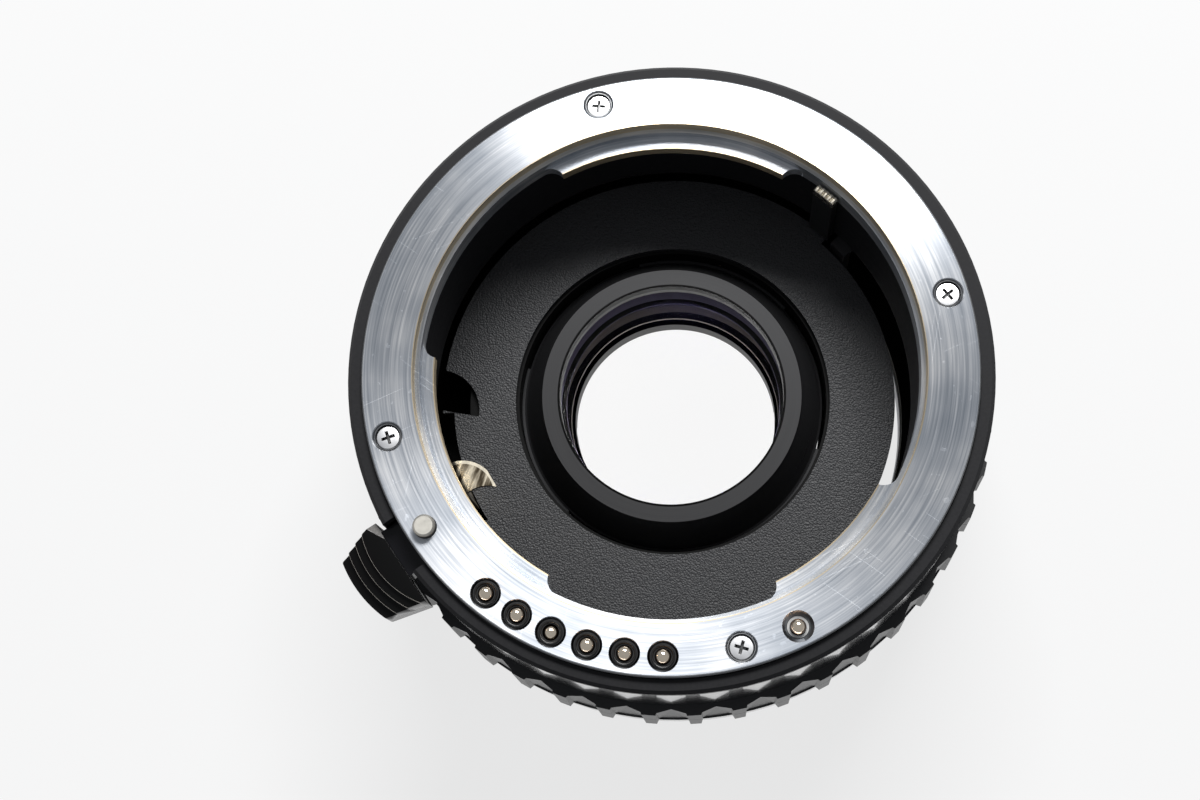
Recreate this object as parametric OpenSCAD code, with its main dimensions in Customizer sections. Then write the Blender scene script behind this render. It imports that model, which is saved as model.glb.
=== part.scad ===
// Camera teleconverter with a three-lug bayonet on both faces.
// All sizes are in millimetres. The origin is the centre of the front flange face and +Z points out of it.

/* [Front bayonet] */
// Radius of the bore at the front flange face
bore_r = 24.1; // [24:0.05:24.3]
// Radius of the wall below the step in the bore
throat_r = 23.65; // [23.5:0.05:23.8]
// Depth of the step in the bore below the face
step_depth = 1.2; // [1:0.1:1.4]
// Inner radius of the three front lugs
lug_r = 22.35; // [22.2:0.05:22.5]
// Depth of the lugs' front face below the flange face
lug_drop = 2.0; // [1.7:0.1:2.2]
// Thickness of the lugs
lug_t = 1.3; // [1.1:0.1:1.5]
// Radius of the hollow corners at the lugs' ends
lug_fillet = 1.5; // [1:0.1:1.8]
// Outer radius of the bayonet ring
flange_r = 29.0; // [28.8:0.1:29.2]
// Thickness of the bayonet ring's flange
flange_t = 1.6; // [1.4:0.1:1.8]
// Distance of the screws, the contacts and the lock pin from the ring's outer edge
bolt_inset = 1.93; // [1.8:0.01:2.05]
// Bevel on the ring's edges
edge_bevel = 0.2; // [0.1:0.05:0.3]

/* [Screws] */
// Radius of a screw's head
screw_head_r = 1.15; // [1.05:0.05:1.25]
// Radius of a screw's shank
screw_r = 0.8; // [0.7:0.05:0.9]
// How deep a screw's head lies below the face
screw_sink = 0.4; // [0.3:0.05:0.5]
// Thickness of a screw's head
screw_head_t = 0.5; // [0.4:0.05:0.6]
// Length of a front screw below its head
front_screw_len = 4.6; // [3.5:0.1:6]

/* [Contacts] */
// Radius of a contact pin's stem and ball tip
pin_r = 0.72; // [0.66:0.02:0.76]
// How far a contact pin stands above the flange face
pin_rise = 0.45; // [0.3:0.05:0.6]
// How far the third contact's tip stands above the flange face
low_pin_rise = 0.1; // [0:0.05:0.3]
// How far a contact pin can be pressed in
pin_travel = 0.5; // [0.3:0.05:0.6]
// Radius of the insulating collar round a contact
collar_r = 1.2; // [1.16:0.02:1.26]
// Radius of a contact pin's shoulder
shoulder_r = 1.05; // [0.95:0.05:1.1]
// Height of the contact block
block_h = 7.4; // [7:0.1:8]

/* [Lock and release] */
// Radius of the lock pin
lock_r = 1.05; // [0.95:0.05:1.15]
// How far the lock pin stands above the flange face
lock_rise = 1.0; // [0.8:0.1:1.2]
// How far the release is drawn back
release_travel = 1.3; // [1.1:0.05:1.35]
// Width of the release slide's neck
neck_w = 5.0; // [4.5:0.1:5.4]
// How far the release knob reaches out from the band
knob_reach = 4.9; // [4.2:0.1:5.6]
// Width of the knob at its root
knob_w = 9.0; // [8:0.1:9.6]
// Width of the knob at its outer face
knob_tip_w = 6.5; // [6:0.1:7]
// How far the knob's middle lies beside the lock pin
knob_shift = 0.95; // [0.5:0.05:1.2]
// Radius of the arcs in which the knob's front steps down
knob_arc_r = 12.0; // [10:0.5:14]

/* [Housing] */
// Width of the matte rim round the bayonet ring
rim_w = 1.45; // [1.3:0.05:1.6]
// Depth of the rim's top below the flange face
rim_drop = 0.75; // [0.6:0.05:0.9]
// Depth of the rim's seat below the flange face
rim_seat = 2.0; // [1.9:0.1:2.2]
// Bevel on the rim's outer edge
rim_bevel = 0.35; // [0.2:0.05:0.4]
// How much wider the glossy band is at the grip than at the rim
band_flare = 0.25; // [0.15:0.05:0.35]
// How far the grip's valleys stand out from the band
grip_step = 0.35; // [0.25:0.05:0.4]
// Depth of the grip's front face
grip_front = 12.0; // [11:0.1:12.4]
// Length of the grip ring
grip_len = 8.3; // [7.5:0.1:8.6]
// Number of grip teeth
grip_teeth = 45; // [40:1:50]
// Wall of the grip ring under its valleys
grip_wall = 0.75; // [0.6:0.05:0.9]
// Height of the flat tips of the grip's teeth above the valleys
tooth_h = 0.65; // [0.5:0.05:0.8]
// Height of the shoulders beside those tips
shoulder_h = 0.42; // [0.3:0.02:0.46]
// How much wider the grip is at its rear than at its front
grip_flare = 0.35; // [0.2:0.05:0.4]
// How far the housing behind the grip stands out from the band
rear_band_step = 0.9; // [0.7:0.05:1]
// Bevel on the housing's rear edge
rear_bevel = 1.6; // [1.2:0.1:1.9]
// Length of the housing between the grip and the rear bevel
rear_band_len = 2.7; // [2.4:0.1:3]
// Distance from the front flange face to the rear flange face
flange_gap = 25.5; // [25:0.1:26.5]

/* [Throat and baffle] */
// Depth of the baffle plate's front face
baffle_depth = 13.5; // [13.4:0.05:13.8]
// Thickness of the baffle plate
baffle_t = 0.6; // [0.5:0.05:0.65]
// Radius of the hole in the baffle plate
baffle_hole_r = 15.85; // [15.7:0.05:16]
// Outer radius of the baffle plate
baffle_r = 23.3; // [23.1:0.05:23.4]
// Radius of the plate's edge beside the coupling tab
baffle_cut_r = 22.3; // [22.1:0.05:22.4]
// Radius of the plate's edge beside the stop-down blade
blade_cut_r = 22.15; // [22:0.05:22.2]
// Radius of the lever notch's rounded edge
notch_r = 4.35; // [4.2:0.05:4.5]

/* [Coupling ring and levers] */
// Thickness of the turning rings
lever_t = 0.8; // [0.7:0.05:0.9]
// Inner radius of the aperture coupling ring
coupling_in_r = 23.9; // [23.8:0.05:24]
// Turn of the coupling ring in degrees
coupling_turn = 61; // [50:1:61]
// Reach of the coupling tab behind the rear flange
tab_reach = 3.0; // [2:0.1:3.4]
// Radius of the stop-down blade's rounded edge
blade_r = 3.37; // [3.2:0.01:3.5]
// Thickness of the blade's sheet
blade_t = 0.6; // [0.5:0.05:0.7]
// Depth of the stop-down blade's top
blade_depth = 5.0; // [4.6:0.1:6]
// Turn of the stop-down ring in degrees
stop_down_turn = 16; // [12:1:16]
// Reach of the stop-down lever behind the rear flange
lever_reach = 6.1; // [5:0.1:6.4]

/* [Optics] */
// Inner radius of the front retaining ring
front_stop_r = 11.2; // [11:0.05:11.5]
// Outer radius of the front retaining ring's face
front_face_r = 12.95; // [12.8:0.05:13.1]
// Depth of that face below the flange
front_face_depth = 11.5; // [11.3:0.1:11.8]
// Radius of the lens elements
lens_r = 12.4; // [12.3:0.05:12.5]
// Radius of the optical barrel between its guide pads
barrel_r = 15.2; // [15.1:0.05:15.3]
// Height of the barrel's guide pads
pad_h = 0.3; // [0.25:0.01:0.35]
// Depth at which the nose meets the guide pads
nose_depth = 16.0; // [15.8:0.1:16.2]
// Inner radius of the rear retaining ring
rear_stop_r = 10.6; // [10.4:0.05:10.9]
// Length of the rear retaining ring
rear_ring_len = 2.31; // [2:0.01:2.5]
// Focus travel of the optical barrel
focus_travel = 3.0; // [2.5:0.1:3.1]
// Turn of the cam ring over that travel, in degrees
cam_turn = 72; // [60:1:76]

/* [Focus drive] */
// Module of the focus gears
gear_module = 0.5; // [0.48:0.01:0.5]
// Teeth on the cam ring
cam_teeth = 70; // [70:1:70]
// Teeth on the idler gear
idler_teeth = 12; // [12:2:12]
// Teeth on the coupler's pinion
pinion_teeth = 8; // [8:1:8]
// Wall of the core tube
core_wall = 0.75; // [0.7:0.05:0.8]
// Radius of the cam followers
follower_r = 0.7; // [0.6:0.05:0.75]

/* [Rear bayonet] */
// Thickness of the rear flange
rear_flange_t = 1.3; // [1.2:0.1:1.5]
// Radius of the rear locating boss
boss_r = 24.0; // [23.9:0.05:24.05]
// Height of the rear locating boss
boss_h = 0.9; // [0.7:0.1:1]
// Outer radius of the rear neck
neck_r = 21.9; // [21.8:0.05:22]
// Inner radius of the rear neck
neck_in_r = 20.6; // [20.5:0.05:20.8]
// Outer radius of the three rear lugs
rear_lug_r = 23.5; // [23.4:0.05:23.55]
// Depth of the rear lugs' locking face behind the rear flange
rear_lug_drop = 3.1; // [3:0.05:3.3]
// Distance of the rear screws from the ring's outer edge
rear_bolt_inset = 2.6; // [2.4:0.05:2.8]
// Outer radius of the rear guard
guard_r = 20.5; // [20.3:0.05:20.55]
// Wall of the rear guard
guard_wall = 1.2; // [1:0.1:1.3]
// Height of the rear guard behind the rear flange
guard_h = 7.0; // [6.8:0.1:8]

/* [Hidden] */
$fn = 128;
eps = 0.02;          // overshoot of a cut past a face
run = 0.05;          // running clearance of turning and sliding pieces
fit = 0.05;          // clearance of pieces that are assembled and stay
play = 0.1;          // clearance between moving pieces that don't guide each other

// Angles round the axis, in degrees from +X
front_lugs = [[56, 113], [172, 236], [292, 326]];
rear_lugs = [[59, 109], [180, 229], [295, 325]];
front_screw_angles = [10, 100, 190, 280];
rear_screw_angles = [58, 122, 186, 278, 310];
contact_start = 227.9;
contact_step = 7.4;
contact_count = 6;
data_angle = 291.5;
contact_angles = [for (i = [0 : contact_count])
    i < contact_count ? contact_start + i * contact_step : data_angle];
lock_angle = 210;
drive_angle = 218;
tab_angles = [35, 40];
tab_top_angles = [41.5, 47.5];
slot_angles = [331.5 - 360, 42.5];
follower_angles = [68, 188, 308];
pad_angles = [[36.8, 98.8], [160.8, 221.8], [278.8, 337.8]];
blade_angle = 205.6;
stem_angles = [197.4, 205.4];
lever_angles = [196, 199];
notch_angle = 178.4;
notch_tip_angle = 180.9;
block_angles = [222, 271];
data_block_angles = [287.5, 295.5];
flex_angles = [225.5, 267.5];
data_flex_angles = [289, 294];
grip_valley_angle = 241.64;
index_angle = 150;

// Radii that follow from the flange's and the barrel's
bolt_r = flange_r - bolt_inset;
rear_bolt_r = flange_r - rear_bolt_inset;
rim_r = flange_r + rim_w;
band_r = rim_r + band_flare;
rear_band_r = band_r + rear_band_step;
rear_edge_r = rear_band_r - rear_bevel;
pad_r = barrel_r + pad_h;

// Heights, worked out from the front face downwards
skirt_wall = 1.4;
skirt_r = throat_r + skirt_wall;
lug_bottom = -(lug_drop + lug_t);
deck_r = skirt_r + play;
wall_in_r = deck_r + 0.55;
coupling_out_r = wall_in_r - play;
coupling_bottom = -(baffle_depth - 0.7);
coupling_top = coupling_bottom + lever_t;
ledge_top = coupling_bottom - run;
ledge_in_r = coupling_in_r + 0.7;
ledge_bottom = -(baffle_depth + baffle_t + play);
sleeve_in_r = throat_r + run;
sleeve_wall = 0.6;
sleeve_collar_t = 1.0;
arm_out_r = throat_r - 0.2;
arm_in_r = arm_out_r - 0.75;
tab_foot = -lug_drop - 1.2;
rear_face = -flange_gap;
rear_seat = rear_face + rear_flange_t;
chamber_r = rear_edge_r - 1.4;
core_plate_t = 1.6;
core_plate_top = rear_seat + core_plate_t;
plate_bottom = -(baffle_depth + baffle_t);
core_in_r = pad_r + run;
core_r = core_in_r + core_wall;
stop_ring_top = plate_bottom - play;
stop_ring_bottom = stop_ring_top - lever_t;
stop_ring_r = 17.8;
stop_ring_out_r = 20.6;
core_head_bottom = stop_ring_bottom - run - 0.5;
cam_in_r = core_r + run;
cam_pitch_r = gear_module * cam_teeth / 2;
idler_pitch_r = gear_module * idler_teeth / 2;
pinion_pitch_r = gear_module * pinion_teeth / 2;
idler_at = cam_pitch_r + idler_pitch_r;
coupler_at = idler_at + idler_pitch_r + pinion_pitch_r;
tooth_top = 0.9 * gear_module;
tooth_root = 1.2 * gear_module;
cam_out_r = cam_pitch_r - tooth_root + run;
cam_top = core_head_bottom - play;
gear_t = 1.4;
gear_bottom = core_plate_top + 0.7;
gear_top = gear_bottom + gear_t;
cam_bottom = core_plate_top + play;
follower_z = cam_top - follower_r - 0.2 - focus_travel;
bridge_t = 0.8;
bridge_bottom = gear_top + 0.6;
axle_r = 0.9;
coupler_r = 1.55;
block_bottom = -(flange_t + fit + block_h);
flex_t = 0.2;
flex_r = bolt_r + 0.35;
flex_rear = core_plate_top - 0.6;
spring_gap = 0.02;
data_collar_r = 1.0;
notch_at = 23.94;
notch_tip_r = 19.46;
notch_slant = 15.5;
blade_at = 22.82;
blade_hollow_r = 3.05;
blade_bend = 0.9;
stem_in_r = blade_cut_r + 0.15;
stem_out_r = stem_in_r + blade_t;
knob_in_r = rim_r + 0.45;
knob_r = knob_in_r + knob_reach;
knob_bottom = -6.5;
neck_top = -2.4;
neck_h = 2.5;
neck_bottom = neck_top - neck_h;
neck_in = wall_in_r + 0.05;
slot_bottom = neck_bottom - release_travel - 0.15;
lock_pocket_bottom = -9.6;
tab_bottom = rear_face - tab_reach;
lever_bottom = rear_face - lever_reach;
guard_bottom = rear_face - guard_h;
guard_in_r = guard_r - guard_wall;
tab_out_r = boss_r - 0.5;
tab_in_r = tab_out_r - 0.9;
spring_wire = 0.4;
index_r = 1.05;
index_seat_r = rear_edge_r + 0.2;
grip_valley_r = band_r + grip_step;
grip_tip_r = grip_valley_r + tooth_h;
grip_seat_r = grip_valley_r - grip_wall;
grip_rear = -grip_front - grip_len;
index_z = grip_rear - rear_band_len / 2;
block_out_r = bolt_r + 1.73;
screw_boss_h = 4;
screw_play = 0.3;

// Lens stack: a positive radius bulges away from the element's middle, a negative one is hollow
e1_front = 75;
e1_rear = -30;
e1_t = 1.5;
e2_front = 34;
e2_rear = 45;
e2_t = 4.2;
e3_t = 1.0;
e3_rear = -40;
e4_front = 60;
e4_rear = 95;
e4_t = 2.6;
cement = 0.02;
spacer_t = 0.6;
lens_seat = -(front_face_depth + 2.1);
e1_z = lens_seat + sag(e1_front);
e1_rim = e1_z - e1_t - sag(e1_rear);
e2_z = e1_rim - spacer_t + sag(e2_front);
e3_z = e2_z - e2_t - cement;
e3_rim = e3_z - e3_t - sag(e3_rear);
e4_z = e3_rim - spacer_t + sag(e4_front);
stack_end = e4_z - e4_t + sag(e4_rear);
barrel_depth = rear_ring_len - stack_end;
barrel_bore_r = lens_r + fit;

// Height of a spherical cap over the element's radius
function sag(r) = abs(r) - sqrt(r * r - lens_r * lens_r);

// Plain solids that the pieces are made of
module tube(r0, r1, z0, z1) {
    difference() {
        translate([0, 0, z0]) cylinder(r = r1, h = z1 - z0);
        translate([0, 0, z0 - eps]) cylinder(r = r0, h = z1 - z0 + 2 * eps);
    }
}

module sector(r0, r1, z0, z1, a0, a1) {
    rotate([0, 0, a0]) rotate_extrude(angle = a1 - a0) translate([r0, z0]) square([r1 - r0, z1 - z0]);
}

module profile_sector(points, a0, a1) {
    rotate([0, 0, a0]) rotate_extrude(angle = a1 - a0) polygon(points);
}

module at(r, a, z = 0) {
    rotate([0, 0, a]) translate([r, 0, z]) children();
}

module rod(r, z0, z1) {
    translate([0, 0, z0]) cylinder(r = r, h = z1 - z0, $fn = 48);
}

// A lug with hollow corners where its ends meet the wall at radius r1
module front_lug(a) {
    fillet_at = throat_r - lug_fillet;
    fillet_turn = asin(lug_fillet / fillet_at);
    difference() {
        sector(lug_r, throat_r + 0.3, lug_bottom, -lug_drop, a[0] - fillet_turn, a[1] + fillet_turn);
        for (end = [a[0] - fillet_turn, a[1] + fillet_turn])
            at(fillet_at, end) rod(lug_fillet, lug_bottom - eps, -lug_drop + eps);
    }
}

// A cross-recessed screw whose head's top lies at z = 0
module cross_screw(length) {
    difference() {
        union() {
            rod(screw_head_r, -screw_head_t, 0);
            rod(screw_r, -screw_head_t - length, -screw_head_t + eps);
        }
        for (turn = [0, 90]) rotate([0, 0, turn])
            translate([-screw_head_r * 0.68, -0.13, -0.32]) cube([screw_head_r * 1.36, 0.26, 0.5]);
    }
}

module screw_hole(depth) {
    bevel_r = screw_head_r + 0.33;
    rod(screw_r + fit, -depth, eps);
    rod(screw_head_r + fit, -screw_sink - screw_head_t, eps);
    translate([0, 0, -edge_bevel])
        cylinder(r1 = screw_head_r + 0.13, r2 = bevel_r + eps, h = edge_bevel + eps, $fn = 48);
}

// The steel ring that a lens locks into
module front_mount_ring() color("silver") difference() {
    union() {
        rotate_extrude() polygon([
            [bore_r, 0], [flange_r - edge_bevel, 0], [flange_r, -edge_bevel], [flange_r, -flange_t],
            [skirt_r, -flange_t], [skirt_r, lug_bottom], [throat_r, lug_bottom], [throat_r, -step_depth],
            [bore_r, -step_depth]]);
        for (a = front_lugs) front_lug(a);
    }
    for (a = front_screw_angles) at(bolt_r, a) screw_hole(flange_t + eps);
    at(bolt_r, lock_angle) rod(lock_r + run, -flange_t - eps, eps);
    for (i = [0 : contact_count - 1]) at(bolt_r, contact_angles[i]) {
        rod(collar_r + fit, -flange_t - eps, eps);
        translate([0, 0, -0.3])
            cylinder(r1 = collar_r + fit, r2 = collar_r + 0.25, h = 0.3 + eps, $fn = 48);
    }
    at(bolt_r, data_angle) {
        rod(data_collar_r + fit, -flange_t - eps, eps);
        translate([0, 0, -0.6])
            cylinder(r1 = data_collar_r + fit, r2 = collar_r + 0.27, h = 0.6 + eps, $fn = 48);
    }
}

module front_mount_screws() color("lightgray")
    for (a = front_screw_angles) at(bolt_r, a, -screw_sink) rotate([0, 0, 25]) cross_screw(front_screw_len);

// Opening for the release slide's neck, cut through the rim and the housing
module neck_slot(top) {
    half = neck_w / 2 + 0.15;
    rotate([0, 0, lock_angle]) translate([neck_in - 0.1, -half, slot_bottom])
        cube([knob_r - neck_in, 2 * half, top - slot_bottom]);
}

// The matte black rim round the bayonet ring
module front_rim() color([0.12, 0.12, 0.13]) difference() {
    rotate_extrude() polygon([
        [flange_r + play, -rim_drop], [rim_r - rim_bevel, -rim_drop], [rim_r, -rim_drop - rim_bevel],
        [rim_r, -rim_seat], [flange_r + play, -rim_seat]]);
    neck_slot(eps);
}

// The housing: deck, glossy band, grip seat, ledge for the coupling ring and rear screw bosses
module main_housing() color([0.08, 0.08, 0.09]) difference() {
    union() {
        rotate_extrude() polygon([
            [deck_r, -flange_t], [flange_r + fit, -flange_t], [flange_r + fit, -rim_seat],
            [rim_r, -rim_seat],
            [band_r, -grip_front], [grip_seat_r, -grip_front], [grip_seat_r, grip_rear],
            [rear_band_r, grip_rear], [rear_band_r, grip_rear - rear_band_len], [rear_edge_r, rear_seat],
            [chamber_r, rear_seat],
            [chamber_r, ledge_bottom], [ledge_in_r, ledge_bottom], [ledge_in_r, ledge_top],
            [wall_in_r, ledge_top], [wall_in_r, lug_bottom - 1.4], [deck_r, lug_bottom - 1.4]]);
        for (a = rear_screw_angles) at(rear_bolt_r, a)
            rod(chamber_r - rear_bolt_r + 0.2, core_plate_top, core_plate_top + screw_boss_h);
        sector(coupling_in_r + 0.6, wall_in_r + 0.1, coupling_top + run, coupling_top + 1.4, 178, 181);
    }
    for (a = front_screw_angles)
        at(bolt_r, a) rod(screw_r + fit, -screw_sink - screw_head_t - front_screw_len - screw_play, eps);
    for (a = rear_screw_angles) at(rear_bolt_r, a)
        rod(screw_r + fit, core_plate_top - eps, core_plate_top + screw_boss_h - 2 * screw_play);
    for (a = [block_angles, data_block_angles]) {
        sector(deck_r - 0.3, block_out_r + play, ledge_top, eps, a[0] - 0.3, a[1] + 0.3);
        sector(flex_r - 0.2, flex_r + flex_t + 0.3, ledge_bottom - eps, ledge_top + eps, a[0] + 1, a[1] - 1);
    }
    neck_slot(eps);
    at(bolt_r, lock_angle) rod(lock_r + 0.65, lock_pocket_bottom, eps);
    index_dot(index_r + fit, 3);
}

// The ring of grip teeth: flat tips between shoulders that slope down to V-shaped valleys, on a base that
// widens to the rear, with a thin groove round the middle
module grip_ring() color([0.1, 0.1, 0.1]) {
    pitch = 360 / grip_teeth;
    tip = 0.123;
    shoulder = 0.176;
    groove = -grip_front - grip_len * 0.48;
    shoulder_r = grip_valley_r + shoulder_h;
    rear_tip_r = grip_tip_r + grip_flare;
    outline = [for (i = [0 : grip_teeth - 1]) let (a = grip_valley_angle + i * pitch) each [
        [grip_valley_r, a],
        [shoulder_r, a + (0.5 - shoulder) * pitch], [rear_tip_r, a + (0.5 - tip) * pitch],
        [rear_tip_r, a + (0.5 + tip) * pitch], [shoulder_r, a + (0.5 + shoulder) * pitch]]];
    difference() {
        union() {
            intersection() {
                translate([0, 0, grip_rear]) linear_extrude(grip_len)
                    polygon([for (p = outline) [p[0] * cos(p[1]), p[0] * sin(p[1])]]);
                translate([0, 0, grip_rear]) cylinder(r1 = rear_tip_r, r2 = grip_tip_r, h = grip_len);
            }
            translate([0, 0, grip_rear])
                cylinder(r1 = grip_valley_r + grip_flare, r2 = grip_valley_r - fit, h = grip_len);
        }
        translate([0, 0, grip_rear - 1]) cylinder(r = grip_seat_r + fit, h = grip_len + 2);
        rotate_extrude() polygon([
            [grip_valley_r + 0.3, groove],
            [rear_tip_r + 1, groove + 0.16], [rear_tip_r + 1, groove - 0.16]]);
    }
}

// A raised dot that is lined up with the camera's own mark
module mount_index_dot() color("red") index_dot(index_r, rear_band_r + 0.2 - index_seat_r);

module index_dot(r, h) {
    rotate([0, 0, index_angle]) translate([index_seat_r, 0, index_z]) rotate([0, 90, 0])
        cylinder(r = r, h = h, $fn = 48);
}

// The black sleeve that lines the throat
module throat_sleeve() color([0.09, 0.09, 0.1]) {
    top = lug_bottom - fit;
    bottom = coupling_top + play;
    tube(sleeve_in_r, sleeve_in_r + sleeve_wall, bottom, top);
    tube(sleeve_in_r + sleeve_wall - eps, deck_r - fit, top - sleeve_collar_t, top);
}

// The grained plate round the optical barrel
module baffle_plate() color([0.15, 0.15, 0.16]) difference() {
    tube(baffle_hole_r, baffle_r, plate_bottom, -baffle_depth);
    sector(baffle_cut_r, baffle_r + 1, plate_bottom - eps, -baffle_depth + eps,
        slot_angles[0], slot_angles[1]);
    sector(blade_cut_r, baffle_r + 1, plate_bottom - eps, -baffle_depth + eps,
        notch_tip_angle - 1.9, stem_angles[1] + 4);
    translate([0, 0, plate_bottom - eps]) linear_extrude(baffle_t + 2 * eps) lever_notch();
}

// The notch's outline: a round edge that ends in a sharp tip, and a slanting straight edge
module lever_notch() intersection() {
    rotate(notch_angle) translate([notch_at, 0]) circle(r = notch_r);
    rotate(notch_tip_angle) translate([notch_tip_r, 0]) rotate(-notch_slant) translate([-2, -8]) square([9, 8]);
}

// Bore for one spring-loaded contact pin
module pin_bore(top) {
    rod(pin_r + run, block_bottom - eps, top);
    rod(shoulder_r + play, block_bottom - eps, -flange_t - 1.0);
}

// The insulating block with a raised collar round each contact
module contact_block() color([0.05, 0.05, 0.05]) difference() {
    union() {
        sector(wall_in_r + fit, block_out_r, block_bottom, -flange_t - fit,
            block_angles[0], block_angles[1]);
        for (i = [0 : contact_count - 1]) at(bolt_r, contact_angles[i])
            rod(collar_r, -flange_t - fit - eps, -0.25);
    }
    for (i = [0 : contact_count - 1]) at(bolt_r, contact_angles[i]) pin_bore(eps);
}

module data_contact_block() color([0.05, 0.05, 0.05]) difference() {
    sector(wall_in_r + fit, block_out_r, block_bottom, -flange_t - fit,
        data_block_angles[0], data_block_angles[1]);
    at(bolt_r, data_angle) pin_bore(eps);
}

module data_contact_collar() color([0.75, 0.66, 0.5])
    at(bolt_r, data_angle) tube(pin_r + run, data_collar_r, -flange_t - fit, -0.62, $fn = 48);

// A ball-tipped contact pin; its shoulder stops it under the collar
module contact_pin(i) color("gainsboro") {
    rise = i == 2 ? low_pin_rise : pin_rise;
    stop = -flange_t - 1.0 - (pin_rise - rise) - run;
    at(bolt_r, contact_angles[i]) {
        rod(pin_r, stop - 0.6, rise - pin_r);
        translate([0, 0, rise - pin_r]) sphere(r = pin_r, $fn = 48);
        rod(shoulder_r, stop - 0.6, stop);
    }
}

module contact_spring(i) color("lightgray") {
    rise = i == 2 ? low_pin_rise : pin_rise;
    top = -flange_t - 1.6 - (pin_rise - rise) - run;
    at(bolt_r, contact_angles[i]) tube(shoulder_r - spring_wire, shoulder_r - 0.05,
        block_bottom + spring_gap, top - spring_gap, $fn = 48);
}

// The flexible circuit that carries the contacts to the rear
module contact_flex() color([0.6, 0.35, 0.1]) for (a = [flex_angles, data_flex_angles]) {
    sector(bolt_r - 1.0, flex_r + flex_t, block_bottom - flex_t, block_bottom, a[0], a[1]);
    sector(flex_r, flex_r + flex_t, flex_rear, block_bottom - flex_t + eps, a[0], a[1]);
    sector(bolt_r - 1.0, flex_r + flex_t, flex_rear - flex_t, flex_rear + eps, a[0], a[1]);
}

// The pin that stops the lens from turning
module lock_pin() color("gainsboro") at(bolt_r, lock_angle) {
    tip = 0.2;
    rod(lock_r, neck_bottom, lock_rise - tip);
    translate([0, 0, lock_rise - tip - eps / 2])
        cylinder(r1 = lock_r, r2 = lock_r - tip, h = tip + eps / 2, $fn = 48);
}

module lock_spring() color("lightgray")
    at(bolt_r, lock_angle) tube(lock_r - spring_wire / 2, lock_r + 0.35,
        lock_pocket_bottom + spring_gap, neck_bottom - spring_gap, $fn = 48);

// The slide that joins the knob to the lock pin
module release_slide() color([0.2, 0.2, 0.2]) difference() {
    rotate([0, 0, lock_angle]) translate([neck_in, -neck_w / 2, neck_bottom])
        cube([knob_in_r - neck_in, neck_w, neck_h]);
    at(bolt_r, lock_angle) rod(lock_r + spring_gap, neck_bottom - eps, neck_top + eps);
}

// The knob: a tapered block whose front steps down outwards in four curved tiers
module release_knob() color([0.06, 0.06, 0.06]) {
    tiers = [[0.44, -1.5], [0.62, -2.0], [0.81, -2.6], [1, -3.3]];
    root = knob_w / 2;
    end = knob_tip_w / 2;
    for (t = tiers)
        rotate([0, 0, lock_angle]) translate([knob_in_r, knob_shift, knob_bottom])
            linear_extrude(t[1] - knob_bottom) intersection() {
                polygon([[0, -root], [knob_reach + 1, -end], [knob_reach + 1, end], [0, root]]);
                translate([knob_reach * t[0] - knob_arc_r, -knob_shift]) circle(r = knob_arc_r);
            }
}

// The ring that passes the aperture setting through, with its rear tab and spring ear
module aperture_coupling_ring() color([0.55, 0.52, 0.45]) {
    root_r = coupling_in_r + 0.3;
    low = coupling_bottom + 0.1;
    high = coupling_top - 0.1;
    tube(coupling_in_r, coupling_out_r, coupling_bottom, coupling_top);
    profile_sector([[arm_in_r, low], [root_r, low], [root_r, high], [arm_out_r, high],
        [arm_out_r, tab_foot], [arm_in_r, tab_foot]], tab_top_angles[0], tab_top_angles[1]);
    profile_sector([[tab_in_r, tab_bottom], [tab_out_r, tab_bottom], [tab_out_r, low], [root_r, low],
        [root_r, high], [tab_in_r, high]], tab_angles[0], tab_angles[1]);
    sector(root_r + 0.3, coupling_out_r - 0.1, high, coupling_top + 1.2, 110.5, 112);
}

// The bright block at the head of the coupling arm
module coupling_tab() color("silver")
    sector(arm_in_r, arm_out_r, tab_foot, -lug_drop, tab_top_angles[0], tab_top_angles[1]);

// A tension spring laid along an arc
module arc_spring(r, z, a0, a1) {
    rotate([0, 0, a0]) rotate_extrude(angle = a1 - a0) translate([r, z]) circle(r = 0.45, $fn = 24);
}

module coupling_spring() color("lightgray")
    arc_spring((coupling_in_r + 0.6 + coupling_out_r) / 2, coupling_top + 0.7, 112.1, 177.9);

// The ring that passes the stop-down movement through, with its rear lever and spring ear
module stop_down_ring() color([0.6, 0.6, 0.6]) {
    tube(stop_ring_r, stop_ring_out_r, stop_ring_bottom, stop_ring_top);
    sector(stop_ring_out_r - eps, stem_out_r, stop_ring_bottom, stop_ring_top,
        stem_angles[0], stem_angles[1]);
    sector(stop_ring_r + 0.8, stop_ring_out_r - 0.2, lever_bottom, stop_ring_bottom + eps,
        lever_angles[0], lever_angles[1]);
    sector(stop_ring_out_r - eps, stop_ring_out_r + 1.6, stop_ring_bottom, stop_ring_top, 234, 236);
}

// The blade that the lens's stop-down lever rests on: a sheet that is bent down to its stem
module stop_down_blade() {
    top = -blade_depth;
    inner_bend = 0.2;
    sheet = [
        [blade_at - blade_r - 1, top], [stem_out_r - blade_bend, top],
        [stem_out_r - blade_bend * 0.3, top - blade_bend * 0.3], [stem_out_r, top - blade_bend],
        [stem_out_r, stop_ring_top], [stem_in_r, stop_ring_top], [stem_in_r, top - blade_t - inner_bend],
        [stem_in_r - inner_bend, top - blade_t], [blade_at - blade_r - 1, top - blade_t]];
    color("gainsboro") intersection() {
        profile_sector(sheet, blade_angle - 12, blade_angle + 6);
        translate([0, 0, stop_ring_top - 1]) linear_extrude(top - stop_ring_top + 2) blade_outline();
    }
}

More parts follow.
